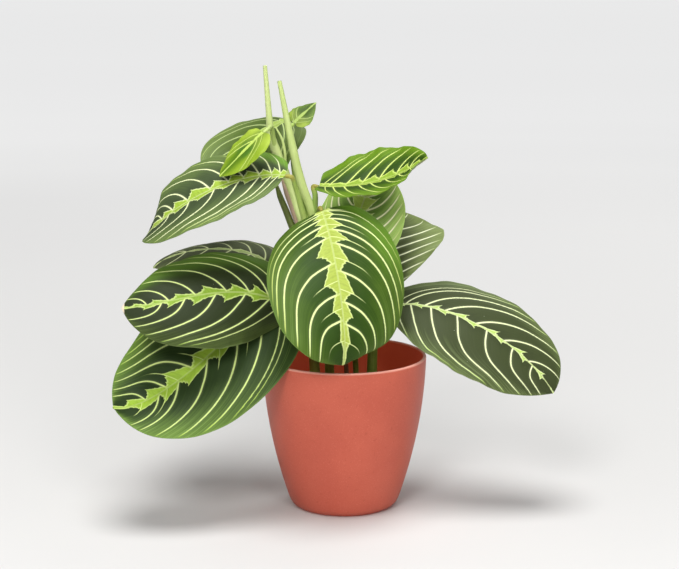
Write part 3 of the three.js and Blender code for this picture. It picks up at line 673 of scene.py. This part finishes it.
def upper_paint(name, leaf, seed):
    """Dark green sectors, lime lobes beside the midrib and cream veins."""
    paint = Paint(name)
    f = vein_fields(paint, leaf, seed)
    along, out, edge, number = f["along"], f["out"], f["edge"], f["number"]
    tau = paint.math("FRACT", number)
    sector = paint.math("FLOOR", number) + 31.0 * f["right"] + seed
    chance, second, third = paint.chances(sector)

    # Streaked greens between the veins
    streak = paint.noise(paint.vector(number * 14.0, f["start"] * 5.0, seed), 1.0, 2.0, 0.6)
    cloud = paint.noise(paint.place(), 60.0, 2.0)
    fine = paint.smooth(streak, 0.5, 0.72)
    lit = edge + (streak - 0.5) * 0.55 + (cloud - 0.5) * 0.35
    dark = rgb(*leaf["dark"])
    outer = rgb(*leaf["outer"])
    colour = paint.mix(paint.smooth(lit, leaf["inner"], leaf["light"]), dark, outer)
    if leaf.get("deep"):
        shade = (1.0 - paint.smooth(along + edge * 0.1, 0.4, 0.85)) * leaf["deep"]
        colour = paint.mix(shade, colour, dark)
        fine = fine * (1.0 - shade * 0.8)
    # Painted highlight: brighter green near the margin of some leaves, standing for sheen
    if leaf.get("glow"):
        half, middle, reach, strength = leaf["glow"]
        zone = 1.0 - paint.smooth(abs(along - middle), reach * 0.6, reach * 1.2)
        zone = zone * paint.smooth(edge, 0.4, 0.85)
        zone = zone * (f["right"] if half else 1.0 - f["right"])
        colour = paint.mix(zone * strength, colour, rgb(104, 150, 40))
    if leaf.get("blotch"):
        patch = (1.0 - paint.smooth(abs(along - 0.5), 0.05, 0.2)) * paint.smooth(out, 1.0, 2.5)
        patch = patch * (1.0 - paint.smooth(out, 5.0, 8.0))
        colour = paint.mix(patch * 0.85, colour, rgb(66, 112, 36))
    if leaf["slot"] == "leaf_blade_young":
        fresh = 1.0 - paint.smooth(along + (cloud - 0.5) * 0.3, 0.15, 0.5)
        colour = paint.mix(fresh * 0.5, colour, rgb(182, 202, 80))
    pale = rgb(*leaf["vein_colour"])
    rays = fine * paint.smooth(edge, 0.5, 0.95) * 0.4
    colour = paint.mix(rays, colour, toned(leaf["outer"], plus=45))

    # Pale band, whose border is width in mm from the midrib
    uneven = paint.noise(paint.vector(number * 5.0, out * 0.5, seed + 9), 1.0, 2.0)
    profile = paint.ramp(tau + (uneven - 0.5) * 0.1, LOBE) ** leaf.get("sharp", 1.0)
    highest = max(stop[1] for stop in leaf["band"])
    amplitude = paint.ramp(along, [(place, width / highest) for place, width in leaf["band"]]) * highest
    amplitude = amplitude * (0.88 + 0.4 * chance)
    base = leaf["band_base"] * (1.0 - 0.75 * paint.smooth(along, 0.3, 1.0))
    border = base + paint.math("MAXIMUM", amplitude - base, 0.0) * profile + (uneven - 0.5) * 0.9
    inside = 1.0 - paint.smooth(out, border - 0.25, border + 0.3)
    shadow = (1.0 - paint.smooth(out - border, 0.5, 7.0)) * (1.0 - inside)
    colour = paint.mix(shadow * 0.4, colour, toned(leaf["dark"], 0.8))
    band = rgb(*leaf["band_colour"])
    strokes = paint.noise(paint.vector(number * 16.0, out * 0.25, seed + 4), 1.0, 1.0)
    strokes = paint.smooth(strokes, 0.4, 0.65)
    lime = paint.mix(strokes * 0.45, band, toned(leaf["band_colour"], 0.84))
    rimmed = paint.smooth(out, border - 1.4, border - 0.3) * 0.6
    lime = paint.mix(rimmed, lime, pale)
    colour = paint.mix(inside, colour, lime)

    if leaf.get("spur"):
        length = leaf["spur"] * (0.4 + 0.6 * second)
        thread = 1.0 - paint.smooth(abs(tau - LOBE_PEAK) * f["gap"], 0.1, 0.42)
        thread = thread * (1.0 - paint.smooth(out - border, length * 0.4, length)) * (third > 0.3)
        colour = paint.mix(thread * 0.75, colour, pale)

    # Veins, midrib and margin
    vein = vein_mask(paint, f, leaf["vein_width"])
    halo = vein_mask(paint, f, leaf["vein_width"] + 1.6, 0.7)
    colour = paint.mix(halo * 0.3 * (1.0 - inside), colour, toned(leaf["outer"], 0.5, 60))
    blend = paint.mix(paint.smooth(edge, 0.75, 1.0), pale, band)
    colour = paint.mix(vein * (0.96 - inside * 0.6), colour, blend)
    rib = 1.0 - paint.smooth(out, 0.35, 1.0 - 0.5 * along)
    faded = rib * 0.6 * (1.0 - paint.smooth(along, 0.8, 1.0))
    colour = paint.mix(faded, colour, paint.mix(0.5, band, pale))
    line = 1.0 - paint.smooth(out, 0.1, 0.45)
    colour = paint.mix(line * 0.3, colour, rgb(150, 160, 110))
    rim = paint.smooth(edge, 0.972, 0.995)
    colour = paint.mix(rim * 0.35, colour, toned(leaf["outer"], plus=30))
    if leaf.get("specks"):
        dots = paint.node("TexVoronoi", None, {"Vector": paint.place(), "Scale": 160.0})
        chosen = paint.split(Field(paint, dots.outputs["Color"]))[0]
        dot = 1.0 - paint.smooth(Field(paint, dots.outputs["Distance"]), 0.02, 0.05)
        colour = paint.mix(dot * (chosen < leaf["specks"]) * 0.55, colour, rgb(214, 220, 196))
    if leaf.get("dry_tip"):
        dry = paint.smooth(along + (cloud - 0.5) * 0.02, 0.984, 0.988)
        colour = paint.mix(dry, colour, rgb(222, 206, 180))

    grain = paint.noise(paint.place(), 1600.0, 2.0)
    roughness = 0.44 + 0.12 * cloud + 0.06 * grain
    height = streak * 0.1 - vein * 0.12 - rib * 0.1 + grain * 0.02
    return paint.finish(colour, roughness, height, 0.15)


def under_paint(name, leaf, seed):
    """Paler underside with raised veins."""
    paint = Paint(name)
    f = vein_fields(paint, leaf, seed)
    under = leaf.get("under", tuple(channel * 0.55 + 78 for channel in leaf["outer"]))
    cloud = paint.noise(paint.place(), 45.0, 3.0)
    streak = paint.noise(paint.vector(f["number"] * 12.0, f["start"] * 5.0, seed), 1.0, 2.0)
    colour = paint.mix(paint.smooth(cloud, 0.35, 0.7), rgb(*under), toned(under, 0.86))
    wine = (1.0 - paint.smooth(f["out"], 2.0, 12.0)) * 0.3
    colour = paint.mix(wine, colour, rgb(150, 112, 108))
    colour = paint.mix(paint.smooth(streak, 0.5, 0.75) * 0.25, colour, toned(under, 0.8))
    vein = vein_mask(paint, f, leaf["vein_width"] * 0.8, 0.3)
    rib = 1.0 - paint.smooth(f["out"], 1.0, 2.2)
    colour = paint.mix(vein * 0.7, colour, rgb(198, 206, 160))
    colour = paint.mix(rib * 0.8, colour, rgb(190, 204, 140))
    return paint.finish(colour, 0.5 + 0.15 * cloud, streak * 0.08 + vein * 0.15, 0.4)


# Stalks

def smooth_path(knots, per_span):
    """A centripetal Catmull-Rom curve through the knots; the radius goes evenly from knot to knot."""
    knots = np.array(knots, float)
    ends = np.vstack([2 * knots[0] - knots[1], knots, 2 * knots[-1] - knots[-2]])
    rows = []
    for k in range(len(knots) - 1):
        p0, p1, p2, p3 = ends[k:k + 4]
        spans = ((p0, p1), (p1, p2), (p2, p3))
        d0, d1, d2 = [max(np.linalg.norm(b[:3] - a[:3]), 1e-4) ** 0.5 for a, b in spans]
        m1 = ((p1 - p0) / d0 - (p2 - p0) / (d0 + d1) + (p2 - p1) / d1) * d1
        m2 = ((p2 - p1) / d1 - (p3 - p1) / (d1 + d2) + (p3 - p2) / d2) * d1
        for s in np.linspace(0, 1, per_span, endpoint=k == len(knots) - 2):
            cubic = ((2 * s ** 3 - 3 * s ** 2 + 1) * p1 + (s ** 3 - 2 * s ** 2 + s) * m1
                     + (3 * s ** 2 - 2 * s ** 3) * p2 + (s ** 3 - s ** 2) * m2)
            rows.append([*cubic[:3], p1[3] + (p2[3] - p1[3]) * s])
    return np.array(rows)


def limb_knots(leaf_name, knots):
    """Adds the last stretch of a leaf stalk, up to just short of the blade."""
    if leaf_name is None:
        return list(knots)
    leaf = LEAVES[leaf_name]
    start, heading = midrib_curve(leaf, np.array([0.0]))
    face = unit(np.array(leaf["face"], float))
    up = unit(face - (heading[0] @ face) * heading[0])
    seat = start[0] - up * SEAT_DEPTH
    neck = NECK_RADIUS if leaf["half_width"] > 20 else YOUNG_NECK_RADIUS
    return [*knots, (*(seat - 4 * heading[0]), neck), (*(seat - 0.4 * heading[0]), STALK_END_RADIUS)]


def make_limb(name, tones, leaf_name, knots):
    """A tapering tube along the knots, closed at both ends."""
    path = smooth_path(limb_knots(leaf_name, knots), STALK_STEPS)
    heading = unit(np.gradient(path[:, :3], axis=0))
    length = np.r_[0, np.cumsum(np.linalg.norm(np.diff(path[:, :3], axis=0), axis=1))]
    side = np.array([1.0, 0, 0])
    turn = np.linspace(0, 2 * np.pi, STALK_SIDES + 1)
    rings = [np.repeat(path[:1, :3], STALK_SIDES + 1, axis=0)]
    for centre, ahead, radius in zip(path[:, :3], heading, path[:, 3]):
        side = unit(side - (side @ ahead) * ahead)
        other = np.cross(ahead, side)
        ring = np.cos(turn)[:, None] * side + np.sin(turn)[:, None] * other
        rings.append(centre + ring * radius)
    rings.append(np.repeat(path[-1:, :3] + heading[-1:] * 0.3, STALK_SIDES + 1, axis=0))
    points = np.array(rings)
    piece, row, column = mapped_grid(name, STALK_SIDES, len(points) - 1, points)
    travel = np.r_[0, length, length[-1]]
    share = np.minimum(1, 1.6 * travel / length[-1])
    tone = tones[0] + (tones[1] - tones[0]) * share
    joint = leaf_name is not None and LEAVES[leaf_name]["slot"] != "leaf_blade_young"
    knuckle = smooth_step(length[-1] - KNUCKLE_START, length[-1] - KNUCKLE_END, travel) * joint
    write_attribute(piece, "limb", np.stack([tone[row], travel[row], knuckle[row]], -1))
    write_attribute(piece, "around", np.stack([np.cos(turn[column]), np.sin(turn[column]), row * 0.0], -1))
    weld(piece)
    return piece


def make_stalk(name, limbs):
    pieces = [make_limb(name + "_limb", limb[:2], limb[2], limb[3:]) for limb in limbs]
    piece = join(name + "_stems", pieces)
    smooth_shade(piece, 60)
    piece.data.materials.clear()
    piece.data.materials.append(stalk_paint(name + "_skin", 2.3 * sorted(STALKS).index(name)))
    return piece


def stalk_paint(name, seed):
    """Green to pale yellow-green skin with fine lengthwise lines; dry parts brown."""
    paint = Paint(name)
    tone, travel, knuckle = paint.attribute("limb")
    cosine, sine = paint.attribute("around")[:2]
    lines = paint.noise(paint.vector(cosine * 5.0 + seed, sine * 5.0, travel * 0.02), 1.0, 2.0, 0.6)
    cloud = paint.noise(paint.vector(cosine, sine, travel * 0.12 + seed), 1.0, 2.0)
    shade = tone + (lines - 0.5) * 0.22 + (cloud - 0.5) * 0.2
    colour = paint.ramp(shade, [
        (0.0, rgb(176, 150, 128)), (0.12, rgb(132, 112, 78)), (0.3, rgb(92, 104, 44)),
        (0.52, rgb(116, 148, 60)), (0.75, rgb(168, 192, 98)), (1.0, rgb(204, 218, 144)),
    ])
    colour = paint.mix(knuckle * 0.6, colour, rgb(166, 136, 58))
    grain = paint.noise(paint.place(), 900.0, 2.0)
    height = lines * 0.12 + grain * 0.03
    return paint.finish(colour, 0.38 + 0.12 * cloud, height, 0.3)


# Pot and soil

def pot_radius(z):
    drop = POT_HEIGHT - z
    return RIM_RADIUS - TAPER_SLOPE * drop - TAPER_CURVE * drop * drop


def lathe(name, profile, segments):
    """A shape turned round the Z axis from (radius, height) points."""
    profile = np.array(profile, float)
    turn = np.linspace(0, 2 * np.pi, segments + 1)
    points = np.stack([
        profile[:, :1] * np.cos(turn), profile[:, :1] * np.sin(turn),
        np.repeat(profile[:, 1:], segments + 1, axis=1),
    ], -1)
    return mapped_grid(name, segments, len(profile) - 1, points)[0]


def foot_curve(count):
    """The rounding of the foot, from the flat underside up into the wall."""
    slope = TAPER_SLOPE + 2 * TAPER_CURVE * (POT_HEIGHT - FOOT_ROUND_HEIGHT)
    top = np.array([pot_radius(FOOT_ROUND_HEIGHT), FOOT_ROUND_HEIGHT])
    bottom = np.array([FOOT_RADIUS, 0.0])
    corner = np.array([top[0] - slope * FOOT_ROUND_HEIGHT, 0.0])
    low = bottom + (corner - bottom) * FOOT_ROUNDING
    high = top + (corner - top) * FOOT_ROUNDING
    t = np.linspace(0, 1, count)[:, None]
    return (1 - t) ** 3 * bottom + 3 * (1 - t) ** 2 * t * low + 3 * (1 - t) * t ** 2 * high + t ** 3 * top


def make_pot():
    """A thin shell, drawn from the middle of the underside, up the outside, over the lip and back."""
    profile = [(0, 0), (FOOT_RADIUS * 0.5, 0), *foot_curve(14)]
    heights = np.linspace(FOOT_ROUND_HEIGHT + 3, POT_HEIGHT - WALL / 2 - 1.5, 26)
    profile += [(pot_radius(z), z) for z in heights]
    middle = RIM_RADIUS - WALL / 2
    for angle in np.radians(np.linspace(0, 180, 13)):
        profile.append((middle + WALL / 2 * math.cos(angle),
                        POT_HEIGHT - WALL / 2 + WALL / 2 * math.sin(angle)))
    profile += [(pot_radius(z) - WALL, z) for z in heights[::-1]]
    profile += [(FOOT_RADIUS - WALL, FLOOR), (0, FLOOR)]
    piece = lathe("pot_shell", profile, POT_SEGMENTS)
    weld(piece)
    smooth_shade(piece, 60)
    piece.data.materials.append(pot_paint())
    return piece


def pot_paint():
    """Satin terracotta-coloured plastic with fine mineral speckle, a painted glow on the inner wall and a
    painted highlight on the lip. Heights are in metres here.
    """
    paint = Paint("pot_plastic")
    place = paint.place()
    x, y, z = paint.split(place)
    cloud = paint.noise(place, 22.0, 3.0)
    speck = paint.noise(place, 1500.0, 2.0, 0.6)
    fleck = paint.noise(place, 620.0, 1.0)
    colour = paint.mix(paint.smooth(cloud, 0.3, 0.7), rgb(194, 90, 70), rgb(203, 98, 76))
    colour = paint.mix(paint.smooth(speck, 0.56, 0.7) * 0.28, colour, rgb(228, 138, 114))
    colour = paint.mix(paint.smooth(fleck, 0.66, 0.74) * 0.25, colour, rgb(168, 66, 48))
    # Painted light: the inner wall is made lighter and given a faint red glow, as if lit through the thin
    # wall
    drop = POT_HEIGHT * MM - z
    wall = RIM_RADIUS * MM - TAPER_SLOPE * drop - TAPER_CURVE / MM * drop * drop
    inner = paint.smooth(wall - (x * x + y * y) ** 0.5, 0.0012, 0.002)
    colour = paint.mix(inner * 0.8, colour, rgb(236, 116, 88))
    # Painted highlight along the top of the lip
    lip = paint.smooth(z, 0.0975, 0.0986)
    colour = paint.mix(lip * 0.9, colour, rgb(246, 176, 156))
    # Darker towards the bottom of the foot
    clear_of_bottom = paint.smooth(z, 0.0, 0.004)
    colour = paint.mix((1.0 - clear_of_bottom) * 0.3, colour, rgb(150, 70, 54))
    # Painted glow of the inner wall, emitted as light
    painted_inner_glow = paint.mix(inner, rgb(0, 0, 0), (0.07, 0.006, 0.002, 1))
    roughness = 0.36 + 0.14 * cloud + 0.1 * speck
    return paint.finish(colour, roughness, speck * 0.05 + fleck * 0.03, 0.3, painted_inner_glow)


def soil_height(x, y):
    """Soft lumps with a fine crumble on them."""
    lumps = np.sin(0.31 * x + 0.8) * np.cos(0.27 * y - 0.4) + 0.6 * np.sin(0.16 * x - 0.23 * y + 2.1)
    crumble = (0.35 * np.sin(1.3 * x + 0.9 * y) * np.sin(1.1 * y - 0.7 * x + 1.0)
               + 0.25 * np.sin(2.9 * x) * np.cos(2.3 * y))
    return SOIL_LEVEL + SOIL_LUMP * lumps + crumble


def make_soil():
    """The bed and its crumbs; a height of None lies on the lumpy top."""
    edge = pot_radius(SOIL_LEVEL) - WALL - 0.9
    profile = [(edge * share, None) for share in np.linspace(0, 1, SOIL_RINGS)]
    profile += [(pot_radius(z) - WALL - WALL_CLEARANCE, z) for z in (SOIL_LEVEL - 5, 48, 32, 18, 10)]
    profile += [(FOOT_RADIUS - WALL - WALL_CLEARANCE, FLOOR + 0.3), (0, FLOOR + 0.3)]
    turn = np.linspace(0, 2 * np.pi, SOIL_SEGMENTS + 1)
    rows = []
    for radius, z in profile[::-1]:
        x, y = radius * np.cos(turn), radius * np.sin(turn)
        height = soil_height(x, y) if z is None else np.full(len(turn), float(z))
        rows.append(np.stack([x, y, height], -1))
    bed = mapped_grid("soil_bed", SOIL_SEGMENTS, len(rows) - 1, np.array(rows))[0]
    weld(bed)
    piece = join("soil_bed", [bed, *make_crumbs(edge)])
    smooth_shade(piece, 35)
    piece.data.materials.clear()
    piece.data.materials.append(soil_paint())
    return piece


def make_crumbs(edge):
    """Loose peat and bark crumbs on the soil, each with its own shape."""
    chance = np.random.default_rng(CRUMB_SEED)
    crumbs = []
    while len(crumbs) < CRUMBS:
        radius = edge * 0.96 * math.sqrt(chance.random())
        turn = chance.random() * 2 * math.pi
        x, y = radius * math.cos(turn), radius * math.sin(turn)
        size = 0.7 + 1.5 * chance.random() ** 2
        stretch = 0.5 + chance.random(3)
        bpy.ops.object.select_all(action="DESELECT")
        bpy.ops.mesh.primitive_ico_sphere_add(subdivisions=2, radius=1)
        crumb = bpy.context.object
        flat = read_points(crumb)
        flat = flat * (0.75 + 0.4 * np.sin(flat @ (chance.random((3, 3)) * 5)))[:, :3] * stretch * size
        tilt = Matrix.Rotation(chance.random() * 6.3, 3, "Z") @ Matrix.Rotation(chance.random() * 3, 3, "X")
        flat = flat @ np.array(tilt).T
        flat[:, 2] = flat[:, 2] * 0.6
        centre = np.array([x, y, float(soil_height(x, y)) + 0.25 * size])
        move_points(crumb, (flat + centre) * MM)
        crumbs.append(crumb)
    return crumbs


def soil_paint():
    """Dark moist peat with lighter fibres."""
    paint = Paint("soil_peat")
    place = paint.place()
    crumb = paint.noise(place, 420.0, 4.0, 0.65)
    wide = paint.noise(place, 70.0, 2.0)
    colour = paint.mix(paint.smooth(crumb, 0.35, 0.7), rgb(38, 26, 20), rgb(92, 66, 48))
    colour = paint.mix(paint.smooth(wide, 0.45, 0.7) * 0.5, colour, rgb(60, 40, 28))
    fibre = paint.smooth(paint.noise(place, 900.0, 1.0), 0.68, 0.75)
    colour = paint.mix(fibre * 0.5, colour, rgb(150, 118, 84))
    return paint.finish(colour, 0.85 + 0.1 * wide, crumb * 0.8, 0.25)


# Stage

def make_camera():
    tilt = math.radians(90 - CAMERA_DOWN)
    bpy.ops.object.camera_add(location=Vector(CAMERA_PLACE) * MM, rotation=(tilt, 0, 0))
    camera = bpy.context.object
    camera.data.lens = CAMERA_LENS
    camera.data.sensor_width = 36
    camera.data.clip_end = 100
    bpy.context.scene.camera = camera


def add_light(name, place, target, diameter, power):
    bpy.ops.object.light_add(type="AREA", location=place)
    light = bpy.context.object
    light.name = name
    light.data.shape = "DISK"
    light.data.size = diameter
    light.data.energy = power
    light.rotation_euler = (Vector(target) - Vector(place)).to_track_quat("-Z", "Y").to_euler()


def make_stage():
    """A pale floor that brightens into the distance, a soft room and four lamps."""
    bpy.ops.object.select_all(action="DESELECT")
    bpy.ops.mesh.primitive_plane_add(size=FLOOR_SIZE, location=(0, 0, -0.0001))
    floor = bpy.context.object
    floor.name = "floor"
    paint = Paint("pale_floor")
    place = paint.place()
    cloud = paint.noise(place, 3.0, 3.0)
    colour = paint.mix(cloud * 0.2, rgb(217, 216, 214), rgb(222, 221, 219))
    x, y = paint.split(place)[:2]
    glow = paint.ramp((x * x + y * y) ** 0.5 / GLOW_RANGE, FLOOR_GLOW)
    floor.data.materials.append(paint.finish(colour, 0.7 + 0.1 * cloud, None, 0.2, glow))
    world = bpy.data.worlds.new("soft_room")
    bpy.context.scene.world = world
    world.use_nodes = True
    background = world.node_tree.nodes["Background"]
    background.inputs["Color"].default_value = (0.95, 0.97, 1.0, 1)
    background.inputs["Strength"].default_value = ROOM_LIGHT
    for light in LIGHTS:
        add_light(*light)
    bpy.context.scene.view_settings.view_transform = "Standard"


make_camera()
make_stage()

pot = make_pot()
soil = make_soil()
made = [(pot, "pot", "pot_terracotta"), (soil, "soil", "soil")]
for name, limbs in STALKS.items():
    made.append((make_stalk(name, limbs), name, SLOTS[name]))
for name, leaf in LEAVES.items():
    made.append((make_blade(name + "_blade", leaf), name, leaf["slot"]))
for piece, node, slot in made:
    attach(piece, "root")
    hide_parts(node)
